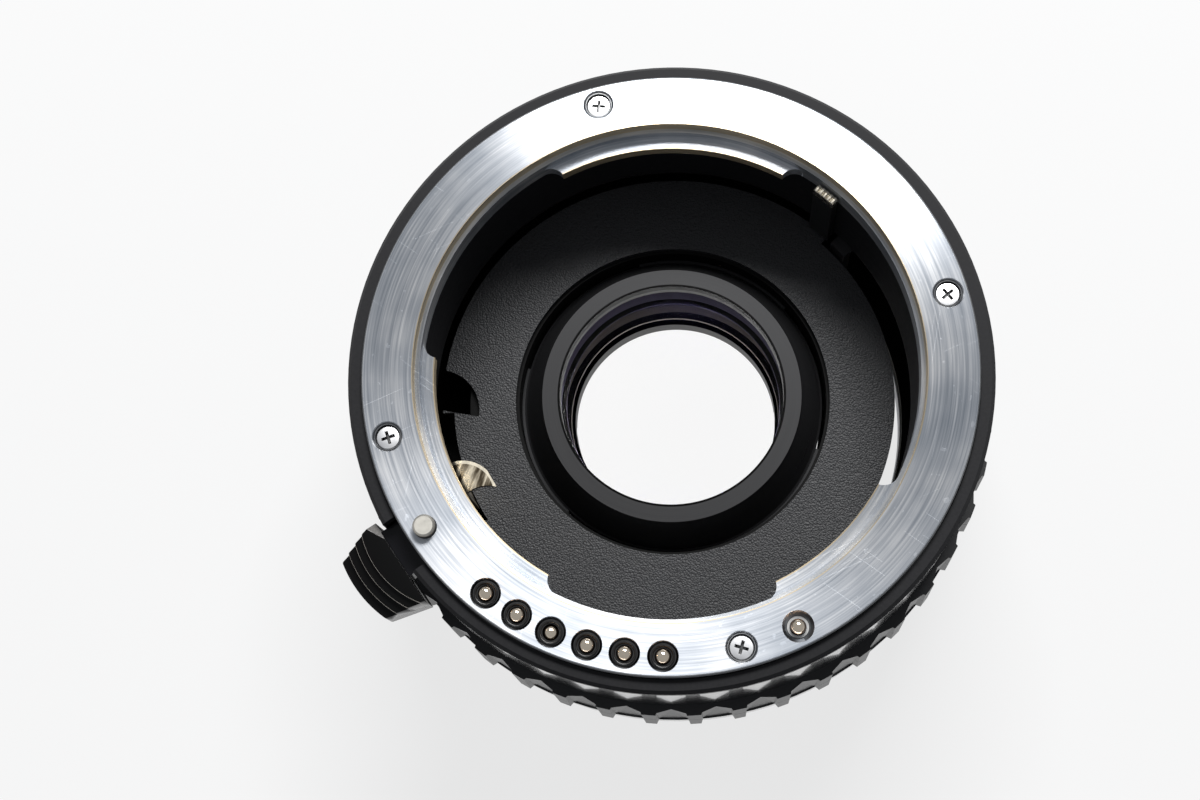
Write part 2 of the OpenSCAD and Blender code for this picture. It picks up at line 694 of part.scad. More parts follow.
// The blade's outline: a round edge that ends in a sharp tip, and a hollow edge
module blade_outline() rotate(blade_angle) difference() {
    translate([blade_at, 0]) circle(r = blade_r);
    translate([blade_at - 1.05, blade_hollow_r]) circle(r = blade_hollow_r);
    translate([blade_at - 1.05, 0]) square([6, 6]);
}

module stop_down_spring() color("lightgray")
    arc_spring(stop_ring_out_r + 0.9, (stop_ring_top + stop_ring_bottom) / 2, 236.1, 260);

// The fixed core: guide tube with straight slots, bearing head for the stop-down ring and rear plate
module core_frame() color([0.3, 0.3, 0.32]) difference() {
    union() {
        tube(core_in_r, stop_ring_r - run, core_head_bottom, plate_bottom);
        tube(core_in_r, stop_ring_r + 0.5, core_head_bottom, stop_ring_bottom - run);
        tube(core_in_r, core_r, core_plate_top - eps, core_head_bottom + eps);
        tube(core_in_r, chamber_r - fit, rear_seat, core_plate_top);
        at(stop_ring_out_r + 0.9, 262) rod(0.6, core_plate_top - eps, stop_ring_top);
    }
    for (a = follower_angles) rotate([0, 0, a])
        translate([core_in_r - 1, -follower_r - run, follower_z - follower_r - 0.1])
            cube([3, 2 * (follower_r + run), focus_travel + 2 * follower_r + 0.2]);
    sector(tab_in_r - 0.3, tab_out_r + 0.35, rear_seat - eps, core_plate_top + eps,
        slot_angles[0], slot_angles[1]);
    sector(stop_ring_r + 0.5, guard_r + 0.1, rear_seat - eps, core_plate_top + eps,
        lever_angles[0] - stop_down_turn - 2, lever_angles[1] + 2);
    for (a = rear_screw_angles) at(rear_bolt_r, a) rod(screw_r + fit, rear_seat - eps, core_plate_top + eps);
    at(coupler_at, drive_angle) rod(coupler_r + run, rear_seat - eps, core_plate_top + eps);
    at(idler_at, drive_angle) rod(axle_r - 0.2, rear_seat - eps, core_plate_top + eps);
    for (a = [block_angles, data_block_angles])
        sector(bolt_r - collar_r - play, chamber_r + eps, rear_seat - eps, core_plate_top + eps,
            a[0] + 0.8, a[1] - 0.8);
}

// A gear's outline: a root circle with straight-sided teeth
module gear_outline(teeth) {
    pitch_r = gear_module * teeth / 2;
    half_root = 0.2 * PI * gear_module;
    half_tip = 0.09 * PI * gear_module;
    circle(r = pitch_r - tooth_root);
    for (i = [0 : teeth - 1]) rotate([0, 0, 360 * i / teeth])
        polygon([[pitch_r - tooth_root - 0.1, -half_root], [pitch_r + tooth_top, -half_tip],
            [pitch_r + tooth_top, half_tip], [pitch_r - tooth_root - 0.1, half_root]]);
}

// The cam ring: three slanting slots turn its rotation into the barrel's travel
module cam_ring() color([0.8, 0.65, 0.3]) {
    steps = 12;
    half_turn = asin((follower_r + 0.08) / cam_in_r) + cam_turn / steps / 2;
    half_h = follower_r + focus_travel / steps / 2 + 0.06;
    difference() {
        tube(cam_in_r, cam_out_r, cam_bottom, cam_top);
        for (a = follower_angles, k = [0 : steps])
            sector(cam_in_r - 0.5, cam_out_r + 0.5, follower_z + focus_travel * k / steps - half_h,
                follower_z + focus_travel * k / steps + half_h,
                a - cam_turn * k / steps - half_turn, a - cam_turn * k / steps + half_turn);
    }
    translate([0, 0, gear_bottom]) rotate([0, 0, drive_angle]) linear_extrude(gear_t) difference() {
        gear_outline(cam_teeth);
        circle(r = cam_in_r + 0.1);
    }
}

// Three pins that carry the barrel on the cam
module cam_followers() color("silver")
    for (a = follower_angles) rotate([0, 0, a]) translate([barrel_r - 0.4, 0, follower_z]) rotate([0, 90, 0])
        cylinder(r = follower_r, h = cam_out_r - barrel_r + 0.3, $fn = 32);

module idler_gear() color([0.8, 0.65, 0.3]) at(idler_at, drive_angle) translate([0, 0, gear_bottom])
    linear_extrude(gear_t) difference() {
        rotate([0, 0, 180 / idler_teeth]) gear_outline(idler_teeth);
        circle(r = axle_r + run);
    }

module idler_axle() color("silver") at(idler_at, drive_angle) {
    rod(axle_r, core_plate_top, bridge_bottom);
    rod(axle_r + 0.7, core_plate_top, gear_bottom - play);
    rod(axle_r - 0.25, core_plate_top - 1, core_plate_top + eps);
    rod(axle_r - 0.25, bridge_bottom - eps, bridge_bottom + bridge_t);
}

// The bridge that holds the upper ends of the idler's axle and the coupler
module gear_bridge() color("silver") difference() {
    union() {
        sector(idler_at - 1.6, coupler_at + 1.4, bridge_bottom, bridge_bottom + bridge_t,
            drive_angle - 4, drive_angle + 14);
        sector(coupler_at - 1.4, coupler_at - 0.2, core_plate_top, bridge_bottom + eps,
            drive_angle + 11, drive_angle + 14);
    }
    at(idler_at, drive_angle) rod(axle_r - 0.2, bridge_bottom - 1, bridge_bottom + 2);
    at(coupler_at, drive_angle) rod(0.8 + run, bridge_bottom - 1, bridge_bottom + 2);
}

// The shaft that the camera's focus motor turns, with its pinion and driver slot
module focus_coupler() color("silver") at(coupler_at, drive_angle) {
    slot_w = 0.7;
    difference() {
        union() {
            rod(coupler_r, rear_face + 0.1, core_plate_top + play);
            rod(0.8, core_plate_top, bridge_bottom + bridge_t);
            translate([0, 0, core_plate_top + play]) cylinder(r = pinion_pitch_r - tooth_root - 0.05,
                h = gear_top - core_plate_top - play, $fn = 48);
            translate([0, 0, gear_bottom]) linear_extrude(gear_t) gear_outline(pinion_teeth);
        }
        translate([-coupler_r, -slot_w / 2, rear_face]) cube([2 * coupler_r, slot_w, 1.2]);
    }
}

// The moving barrel that holds the lens elements
module optical_barrel() color([0.05, 0.05, 0.06]) difference() {
    union() {
        rotate_extrude() polygon([
            [barrel_bore_r, -front_face_depth - 0.5], [front_face_r, -front_face_depth - 0.5],
            [barrel_r - 0.2, -nose_depth], [barrel_r, -nose_depth - 0.1], [barrel_r, -barrel_depth],
            [barrel_bore_r, -barrel_depth]]);
        for (a = pad_angles)
            sector(barrel_r - 0.5, pad_r, -barrel_depth + 1.5, -nose_depth - 0.2, a[0], a[1]);
    }
    for (a = follower_angles) rotate([0, 0, a]) translate([barrel_r - 0.4, 0, follower_z]) rotate([0, 90, 0])
        cylinder(r = follower_r + spring_gap, h = 2, $fn = 48);
}

module front_retaining_ring() color([0.29, 0.29, 0.3]) difference() {
    rotate_extrude() polygon([
        [front_stop_r, -front_face_depth], [front_face_r, -front_face_depth],
        [front_face_r, -front_face_depth - 0.5],
        [lens_r, -front_face_depth - 0.5], [lens_r, lens_seat], [front_stop_r, lens_seat]]);
    face_clearance(e1_front, e1_z - e1_front);
}

// A ball of radius r at height z, or everything when the surface isn't a bulging one
module ball_if_bulging(r, z) {
    if (r > 0) translate([0, 0, z]) sphere(r = r, $fn = 240);
    else translate([0, 0, -40]) cylinder(r = lens_r + 1, h = 60);
}

// A lens element with its front vertex at height z; its faces are parts of spheres
module lens_element(z, t, front, rear) color([0.75, 0.8, 0.95, 0.5]) {
    top = front > 0 ? z : z + sag(front);
    bottom = rear > 0 ? z - t : z - t - sag(rear);
    difference() {
        intersection() {
            translate([0, 0, bottom]) cylinder(r = lens_r, h = top - bottom);
            ball_if_bulging(front, z - front);
            ball_if_bulging(rear, z - t + rear);
        }
        if (front < 0) translate([0, 0, z - front]) sphere(r = -front, $fn = 240);
        if (rear < 0) translate([0, 0, z - t + rear]) sphere(r = -rear, $fn = 240);
    }
}

// Space that an element's bulging face needs: the face's sphere, a hair larger
module face_clearance(r, z) {
    translate([0, 0, z]) sphere(r = r + cement, $fn = 240);
}

module front_spacer() color([0.1, 0.1, 0.1]) difference() {
    tube(rear_stop_r + 0.3, lens_r, e1_rim - spacer_t, e1_rim);
    face_clearance(e2_front, e2_z - e2_front);
}

module rear_spacer() color([0.1, 0.1, 0.1]) difference() {
    tube(rear_stop_r + 0.3, lens_r, e3_rim - spacer_t, e3_rim);
    face_clearance(e4_front, e4_z - e4_front);
}

module rear_retaining_ring() color([0.12, 0.12, 0.12]) difference() {
    tube(rear_stop_r, lens_r, -barrel_depth, stack_end);
    face_clearance(e4_rear, e4_z - e4_t + e4_rear);
    for (turn = [0, 180]) rotate([0, 0, turn]) translate([rear_stop_r - 0.2, -0.5, -barrel_depth - eps])
        cube([1.2, 1, 0.6]);
}

// The steel ring that locks into the camera
module rear_mount_ring() color("silver") difference() {
    union() {
        rotate_extrude() polygon([
            [neck_in_r, rear_seat], [flange_r, rear_seat], [flange_r, rear_face + edge_bevel],
            [flange_r - edge_bevel, rear_face], [boss_r, rear_face],
            [boss_r, rear_face - boss_h + edge_bevel], [boss_r - edge_bevel, rear_face - boss_h],
            [neck_r, rear_face - boss_h],
            [neck_r, rear_lug_bottom()], [neck_in_r, rear_lug_bottom()]]);
        for (a = rear_lugs)
            sector(neck_r - 0.3, rear_lug_r, rear_lug_bottom(), rear_face - rear_lug_drop, a[0], a[1]);
    }
    sector(tab_in_r - 0.25, tab_out_r + 0.25, rear_face - boss_h - eps, rear_seat + eps,
        slot_angles[0], slot_angles[1]);
    for (a = rear_screw_angles)
        at(rear_bolt_r, a, rear_face) mirror([0, 0, 1]) screw_hole(rear_flange_t + eps);
    for (a = contact_angles) at(bolt_r, a) rod(collar_r, rear_face - eps, rear_seat + eps);
    at(coupler_at, drive_angle) rod(coupler_r + run, rear_face - eps, rear_seat + eps);
    at(bolt_r, lock_angle) rod(lock_r + 0.15, rear_face - eps, rear_face + lock_rise + 0.15);
}

function rear_lug_bottom() = rear_face - rear_lug_drop - lug_t;

module rear_mount_screws() color("lightgray") for (a = rear_screw_angles)
    at(rear_bolt_r, a, rear_face + screw_sink) mirror([0, 0, 1]) cross_screw(front_screw_len - 0.6);

module rear_contact_insulators() color([0.05, 0.05, 0.05]) for (a = contact_angles)
    at(bolt_r, a) tube(0.9, collar_r - fit / 2, rear_face + 0.03, flex_rear - flex_t, $fn = 48);

module rear_contact_pads() color([0.85, 0.75, 0.45]) for (a = contact_angles)
    at(bolt_r, a) rod(0.9 - fit / 2, rear_face, flex_rear - flex_t);

// The guard round the rear lens, open where the stop-down lever moves
module rear_guard() color([0.07, 0.07, 0.08]) difference() {
    union() {
        tube(guard_in_r, guard_r, guard_bottom, rear_seat);
        tube(barrel_r + play, guard_r, rear_seat - 0.8, rear_seat);
    }
    sector(stop_ring_r + 0.4, guard_r + 1, guard_bottom - eps, rear_seat + eps,
        lever_angles[0] - stop_down_turn - 5, lever_angles[1] + 5);
}

front_mount_ring();
front_mount_screws();
front_rim();
main_housing();
grip_ring();
mount_index_dot();
throat_sleeve();
baffle_plate();
contact_block();
data_contact_block();
data_contact_collar();
for (i = [0 : contact_count]) contact_pin(i);
for (i = [0 : contact_count]) contact_spring(i);
contact_flex();
lock_pin();
lock_spring();
release_slide();
release_knob();
aperture_coupling_ring();
coupling_tab();
coupling_spring();
stop_down_ring();
stop_down_blade();
stop_down_spring();
core_frame();
cam_ring();
cam_followers();
idler_gear();
idler_axle();
gear_bridge();
focus_coupler();
optical_barrel();
front_retaining_ring();
lens_element(e1_z, e1_t, e1_front, e1_rear);  // lens_element_1
lens_element(e2_z, e2_t, e2_front, e2_rear);  // lens_element_2
lens_element(e3_z, e3_t, -e2_rear, e3_rear);  // lens_element_3
lens_element(e4_z, e4_t, e4_front, e4_rear);  // lens_element_4
front_spacer();
rear_spacer();
rear_retaining_ring();
rear_mount_ring();
rear_mount_screws();
rear_contact_insulators();
rear_contact_pads();
rear_guard();
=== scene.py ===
"""Looks of the camera teleconverter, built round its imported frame.

New pieces are drawn in millimetres and scaled to metres as they are finished.
"""

import math

import bmesh
import bpy
from mathutils import Euler, Matrix, Vector


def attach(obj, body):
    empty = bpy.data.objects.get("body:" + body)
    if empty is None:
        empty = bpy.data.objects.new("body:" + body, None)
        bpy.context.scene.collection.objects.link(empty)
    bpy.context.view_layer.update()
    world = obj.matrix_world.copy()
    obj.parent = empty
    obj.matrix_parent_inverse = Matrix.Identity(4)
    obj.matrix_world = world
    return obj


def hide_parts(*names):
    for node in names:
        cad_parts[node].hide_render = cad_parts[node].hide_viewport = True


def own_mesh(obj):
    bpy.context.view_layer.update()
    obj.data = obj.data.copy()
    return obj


MM = 0.001
AXIS = Vector((0, 0, 1))

# Places on the part, in millimetres and degrees

TABLE_Z = -32.55
BOLT_R = 27.07
REAR_BOLT_R = 26.4
FRONT_SCREW_Z, REAR_SCREW_Z = -0.4, -25.1
CONTACT_ANGLES = [227.9 + 7.4 * k for k in range(6)] + [291.5]
LOCK_ANGLE = 210
KNOB_IN, KNOB_OUT, KNOB_ARC = 30.9, 35.8, 12.0
# Radius and height of each step of the knob
KNOB_STEPS = [(9.26, -1.5), (10.14, -2.0), (11.07, -2.6)]
# The plane of the knob's cut facet, before the knob is turned to its angle
FACET_POINT, FACET_NORMAL = Vector((31.6, -2.9, -1.5)), Vector((-0.66, -0.35, 0.66)).normalized()
BLADE_AT, BLADE_ANGLE = 22.82, 205.6


# Shader maths

class Value:
    """A socket in a shader tree that can be used in expressions."""

    def __init__(self, look, socket):
        self.look = look
        self.socket = socket

    def __add__(self, other):
        return self.look.maths("ADD", self, other)

    def __sub__(self, other):
        return self.look.maths("SUBTRACT", self, other)

    def __rsub__(self, other):
        return self.look.maths("SUBTRACT", other, self)

    def __mul__(self, other):
        return self.look.maths("MULTIPLY", self, other)

    def __truediv__(self, other):
        return self.look.maths("DIVIDE", self, other)

    def __pow__(self, other):
        return self.look.maths("POWER", self, other)

    def __gt__(self, other):
        return self.look.maths("GREATER_THAN", self, other)

    def __lt__(self, other):
        return self.look.maths("LESS_THAN", self, other)

    def __abs__(self):
        return self.look.maths("ABSOLUTE", self)

    __radd__ = __add__
    __rmul__ = __mul__


class Look:
    """A procedural material with one Principled shader."""

    def __init__(self, name, **values):
        self.material = bpy.data.materials.new(name)
        self.material.use_nodes = True
        self.tree = self.material.node_tree
        self.shader = self.tree.nodes["Principled BSDF"]
        for socket, value in values.items():
            self.shader.inputs[socket.replace("_", " ")].default_value = value
        self.place = self.node("ShaderNodeTexCoord", {}, {}, "Object")

    def node(self, kind, settings, sockets, output=0):
        """Adds a node and returns one of its outputs."""
        node = self.tree.nodes.new(kind)
        for name, value in settings.items():
            if name == "stops":
                ramp = node.color_ramp.elements
                while len(ramp) < len(value):
                    ramp.new(1.0)
                for stop, (position, colour) in zip(ramp, value):
                    stop.position = position
                    stop.color = (*colour, 1.0)
            else:
                setattr(node, name, value)
        for name, value in sockets.items():
            if isinstance(value, Value):
                self.tree.links.new(value.socket, node.inputs[name])
            else:
                node.inputs[name].default_value = value
        return Value(self, node.outputs[output])

    def maths(self, operation, first, second=0.0):
        return self.node("ShaderNodeMath", {"operation": operation}, {0: first, 1: second})

    def outputs(self, value):
        """The outputs of the node that a value comes from, by name."""
        return {socket.name: Value(self, socket) for socket in value.socket.node.outputs}

    def feed(self, name, value):
        self.tree.links.new(value.socket, self.shader.inputs[name])

    def surface(self, factor, added):
        """Mixes another shader over the Principled one, by a factor."""
        both = self.node("ShaderNodeMixShader", {}, {0: factor}).socket.node
        self.tree.links.new(self.shader.outputs[0], both.inputs[1])
        self.tree.links.new(added.socket, both.inputs[2])
        self.tree.links.new(both.outputs[0], self.tree.nodes["Material Output"].inputs["Surface"])

    def noise(self, scale, detail=3.0, place=None):
        sockets = {"Vector": place or self.place, "Scale": scale, "Detail": detail}
        return self.node("ShaderNodeTexNoise", {}, sockets, "Fac")

    def cells(self, scale, place):
        return self.node("ShaderNodeTexVoronoi", {}, {"Vector": place, "Scale": scale}, "Distance")

    def ramp(self, value, *stops):
        return self.node("ShaderNodeValToRGB", {"stops": stops}, {"Fac": value}, "Color")

    def between(self, low, high, value):
        """A number that runs from low to high as value runs from 0 to 1."""
        return value * (high - low) + low

    def mix(self, factor, first, second):
        """Runs from one colour to another, each a value or three numbers, as factor runs from 0 to 1."""
        first, second = (c if isinstance(c, Value) else (*c, 1.0) for c in (first, second))
        return self.node("ShaderNodeMix", {"data_type": "RGBA"}, {0: factor, 6: first, 7: second}, 2)

    def line(self, value, middle, half_width):
        """1 where a length lies within half a width of the middle, both in millimetres, and 0 elsewhere."""
        return abs(value - middle * MM) < half_width * MM

    def bump(self, height, depth, strength=1.0):
        """Relief with a depth in millimetres."""
        sockets = {"Height": height, "Distance": depth * MM, "Strength": strength}
        self.feed("Normal", self.node("ShaderNodeBump", {}, sockets, "Normal"))

    def axes(self):
        """The three coordinates of a point on the surface, in metres."""
        parts = self.outputs(self.node("ShaderNodeSeparateXYZ", {}, {0: self.place}))
        return parts["X"], parts["Y"], parts["Z"]

    def radius(self):
        """Distance from the part's axis, in metres."""
        x, y, _ = self.axes()
        return (x * x + y * y) ** 0.5

    def height(self):
        """Height over the front face, in metres."""
        return self.axes()[2]

    def away_from(self, radius, angle):
        """Distance in plan from a point given by its radius, in millimetres, and its angle."""
        turn = math.radians(angle)
        point = (radius * MM * math.cos(turn), radius * MM * math.sin(turn), 0)
        flat = self.node("ShaderNodeVectorMath", {"operation": "MULTIPLY"}, {0: self.place, 1: (1, 1, 0)})
        return self.node("ShaderNodeVectorMath", {"operation": "DISTANCE"}, {0: flat, 1: point}, "Value")

    def turned_place(self, along, across):
        """Coordinates whose noise runs round the axis: fine across the turning marks, long along them."""
        slant = 0.37
        x, y, z = self.axes()
        r = self.radius()
        sockets = {0: x / r * along, 1: y / r * along, 2: (r + z * slant) * across}
        return self.node("ShaderNodeCombineXYZ", {}, sockets)

    def stretched(self, angle, along, across):
        """Coordinates whose noise runs in one direction over the face."""
        sockets = {"Vector": self.place, "Rotation": (0, 0, math.radians(angle)),
                   "Scale": (1 / along, 1 / across, 0.01)}
        return self.node("ShaderNodeMapping", {"vector_type": "TEXTURE"}, sockets)

    def streaks(self, angle):
        """Long straight hairline scratches in one direction."""
        return self.noise(1.0, 0.0, self.stretched(angle, 90, 6500)) > 0.8


# Materials

def brushed_steel():
    """Plated steel with circular brush marks, straight hairline scratches, a painted yellowish glint along
    the edges of the bore and the lugs, and painted shade inside the holes below its face.
    """
    bore_edge, lug_edge, data_recess = 24.13, 22.4, 1.7
    holes_from, hole_top, hole_bottom = 24.7, -0.08, -1.5
    look = Look("brushed_steel", Metallic=1.0, Anisotropic=0.8, Anisotropic_Rotation=0.25)
    marks = look.noise(1.0, 4.0, look.turned_place(2.2, 5200))
    clouds = look.noise(140, 2.0)
    arcs = look.noise(1.0, 1.0, look.turned_place(30, 1700)) > 0.74
    scratches = arcs + look.streaks(20) + look.streaks(75) + look.streaks(140)
    tone = look.ramp(marks * 0.5 + clouds * 0.5, (0.3, (0.26, 0.29, 0.33)), (0.5, (0.43, 0.45, 0.48)),
                     (0.7, (0.70, 0.70, 0.70)))
    # A painted glint: thin yellowish lines along the edges of the bore and of the lugs.
    edge_glint = look.line(look.radius(), bore_edge, 0.05) + look.line(look.radius(), lug_edge, 0.06)
    base = look.mix(edge_glint, tone, (0.55, 0.46, 0.32))
    # Painted shade: below the face and outside the bore's lip the holes are darkened towards black, except
    # round the data contact's recess.
    hole_shade = (look.height() < hole_top * MM) * (look.height() > hole_bottom * MM)
    hole_shade = hole_shade * (look.radius() > holes_from * MM)
    hole_shade = hole_shade * (look.away_from(BOLT_R, CONTACT_ANGLES[-1]) > data_recess * MM)
    look.feed("Base Color", look.mix(hole_shade * 0.8, base, (0.06, 0.06, 0.06)))
    look.feed("Roughness", look.between(0.28, 0.42, marks) + scratches * 0.06)
    look.bump(marks + scratches * 0.4, 0.006, 0.3)
    return look


def nickel(name, tint, rough):
    """Plain plated metal with faint wear."""
    look = Look(name, Metallic=1.0)
    darker = tuple(c * 0.82 for c in tint)
    look.feed("Base Color", look.mix(look.noise(900, 4.0), darker, tint))
    look.feed("Roughness", look.between(rough, rough + 0.14, look.noise(2600, 3.0)))
    look.bump(look.noise(5000, 2.0), 0.004, 0.3)
    return look


def pin_plating(name, tip, depth, rough, *stops):
    """Plated pin with painted shade down its side, darkening from a tip height over a depth, both in
    millimetres.
    """
    look = Look(name, Metallic=1.0)
    wear = look.noise(2600, 3.0)
    # Painted shade: the plating darkens and browns down the pin's side, below its tip.
    up = (look.height() - (tip - depth) * MM) / (depth * MM)
    look.feed("Base Color", look.ramp(up + wear * 0.1, *stops))
    look.feed("Roughness", look.between(rough, rough + 0.12, wear))
    look.bump(look.noise(5000, 2.0), 0.004, 0.3)
    return look


def screw_plating():
    """Bright plated screws with painted shade inside the cross and down the head's side."""
    front_crown, rear_crown = 0.12, 0.08
    look = Look("screw_plating", Metallic=1.0)
    wear = look.noise(900, 4.0)
    # Painted shade: below the crown of the front heads and above the crown of the rear heads, the plating is
    # darkened.
    sunk = ((look.height() < (FRONT_SCREW_Z - front_crown) * MM)
            * (look.height() > (REAR_SCREW_Z + rear_crown) * MM))
    head = look.mix(wear, (0.70, 0.70, 0.71), (0.90, 0.90, 0.90))
    look.feed("Base Color", look.mix(sunk, head, (0.14, 0.14, 0.14)))
    look.feed("Roughness", look.between(0.28, 0.42, wear))
    look.bump(look.noise(5000, 2.0), 0.004, 0.3)
    return look


def brushed_blade():
    """Nickel sheet with dark and bright rubbing marks across it and a painted highlight line inside its round
    edge.
    """
    rim_r = 3.22
    look = Look("blade_metal", Metallic=1.0)
    marks = look.noise(1.0, 3.0, look.stretched(68, 400, 2600))
    tone = look.ramp(marks, (0.38, (0.09, 0.07, 0.045)), (0.5, (0.30, 0.255, 0.185)),
                     (0.62, (0.66, 0.59, 0.46)))
    # A painted highlight along the inside of the round edge.
    rim_highlight = look.line(look.away_from(BLADE_AT, BLADE_ANGLE), rim_r, 0.16)
    look.feed("Base Color", look.mix(rim_highlight, tone, (0.88, 0.80, 0.64)))
    look.feed("Roughness", look.between(0.22, 0.40, marks))
    look.bump(marks, 0.03, 0.6)
    return look


def turned_brass():
    """Brass left from the lathe, with fine turning marks."""
    look = Look("brass", Metallic=1.0)
    marks = look.noise(1.0, 3.0, look.turned_place(1.5, 12000))
    look.feed("Base Color", look.mix(marks, (0.62, 0.44, 0.2), (0.76, 0.57, 0.28)))
    look.feed("Roughness", look.between(0.22, 0.37, marks))
    look.bump(marks, 0.006, 0.4)
    return look


def turned_black(name, dark, light, rough):
    """Black anodised aluminium with turning marks."""
    look = Look(name, Metallic=0.25)
    marks = look.noise(1.0, 3.0, look.turned_place(1.2, 14000))
    look.feed("Base Color", look.mix(marks, dark, light))
    look.feed("Roughness", look.between(rough, rough + 0.12, marks))
    look.bump(marks, 0.008, 0.4)
    return look


def stop_ring(name, lit_band_from, lit_band_to, tone):
    """Black stop ring with a lighter tone painted outside one radius and inside another, both in millimetres,
    as highlight bands at its edges.
    """
    look = Look(name, Metallic=0.3)
    marks = look.noise(1.0, 3.0, look.turned_place(1.2, 14000))
    # Painted highlight: outside one radius and inside another the black gives way to a lighter tone.
    bare = (look.radius() > lit_band_from * MM) + (look.radius() < lit_band_to * MM)
    black = look.mix(marks, (0.006, 0.006, 0.006), (0.014, 0.013, 0.012))
    look.feed("Base Color", look.mix(bare * look.between(0.6, 1.0, marks), black, tone))
    look.feed("Roughness", look.between(0.36, 0.5, marks))
    look.bump(marks, 0.008, 0.4)
    return look


def face_ring():
    """Grey anodised ring with painted shade on the bevel at its bore and a painted highlight on the edge
    below it.
    """
    bevel_r, bevel_foot = 11.42, -12.6
    look = Look("grey_face_ring", Specular_IOR_Level=0.3)
    marks = look.noise(1.0, 3.0, look.turned_place(1.2, 16000))
    # Painted shade: inside the bevel's radius the grey is darkened; below the bevel's foot a lighter grey is
    # a painted highlight.
    bevel = look.radius() < bevel_r * MM
    edge = bevel * (look.height() < bevel_foot * MM)
    grey = look.mix(marks, (0.010, 0.010, 0.011), (0.018, 0.018, 0.019))
    dark = look.mix(bevel, grey, (0.004, 0.004, 0.004))
    look.feed("Base Color", look.mix(edge, dark, (0.10, 0.10, 0.098)))
    look.feed("Metallic", look.between(0.25, 1.0, bevel))
    look.feed("Roughness", look.between(0.42, 0.54, marks))
    look.bump(marks, 0.008, 0.4)
    return look


def edged_ring():
    """Blackened lever metal with a bare bright edge on the bore of the coupling ring."""
    bore_r, front = 23.95, -12.03
    look = Look("edged_ring")
    edge = look.line(look.radius(), bore_r, 0.06) * look.line(look.height(), front, 0.06)
    marks = look.noise(1.0, 2.0, look.turned_place(1.5, 9000))
    look.feed("Base Color", look.mix(edge, (0.010, 0.010, 0.011), (0.60, 0.57, 0.50)))
    look.feed("Metallic", look.between(0.2, 1.0, edge))
    look.feed("Roughness", look.between(0.3, 0.45, marks))
    look.bump(marks, 0.005, 0.3)
    return look


def grained_plate():
    """Charcoal paint with the fine pebbled grain of leather."""
    wander = 0.2
    look = Look("grained_plate", Specular_IOR_Level=0.3)
    push = look.node("ShaderNodeTexNoise", {}, {"Vector": look.place, "Scale": 2600.0}, "Color")
    step = look.node("ShaderNodeVectorMath", {"operation": "SCALE"}, {0: push, 3: wander * MM})
    wandering = look.node("ShaderNodeVectorMath", {"operation": "ADD"}, {0: look.place, 1: step})
    drift = look.noise(6000, 3.0)
    height = look.cells(5400, wandering) * 0.8 + drift * 0.4
    look.feed("Base Color", look.mix(height, (0.026, 0.027, 0.029), (0.012, 0.012, 0.013)))
    look.feed("Roughness", look.between(0.40, 0.60, drift))
    look.bump(1 - height, 0.085, 0.9)
    return look


def moulded(name, colour, rough, grain_scale, grain_depth, shine=0.5):
    """Plain moulded or painted surface with a fine grain."""
    look = Look(name, Specular_IOR_Level=shine)
    grain = look.noise(grain_scale, 4.0)
    lighter = tuple(c * 1.5 for c in colour)
    look.feed("Base Color", look.mix(grain, colour, lighter))
    look.feed("Roughness", look.between(rough, rough + 0.14, grain))
    look.bump(grain, grain_depth, 0.6)
    return look


def gloss_black():
    """Black enamel with a clear gloss."""
    look = Look("gloss_black", Coat_Roughness=0.04, Coat_Weight=0.6)
    peel = look.noise(700, 2.0)
    look.feed("Base Color", look.mix(peel, (0.006, 0.006, 0.007), (0.012, 0.012, 0.013)))
    look.feed("Roughness", look.between(0.1, 0.2, look.noise(2500, 3.0)))
    look.bump(peel, 0.01, 0.25)
    return look


def rim_paint():
    """Matt black paint, glossy on the outer bevel."""
    bevel_r = 30.12
    look = Look("rim_paint", Specular_IOR_Level=0.09)
    grain = look.noise(3600, 4.0)
    look.feed("Base Color", look.mix(grain, (0.009, 0.009, 0.010), (0.016, 0.016, 0.017)))
    look.feed("Roughness", look.between(0.5, 0.16, look.radius() > bevel_r * MM) + grain * 0.1)
    look.bump(grain, 0.012, 0.6)
    return look


def grip_paint():
    """Moulded grip: a dull grained front face and smoother flanks."""
    front = -12.03
    look = Look("grip_paint", Specular_IOR_Level=0.4)
    grain = look.noise(3200, 4.0)
    look.feed("Base Color", look.mix(grain, (0.010, 0.010, 0.011), (0.020, 0.020, 0.021)))
    look.feed("Roughness", look.between(0.34, 0.62, look.height() > front * MM) + grain * 0.08)
    look.bump(grain, 0.02, 0.6)
    return look


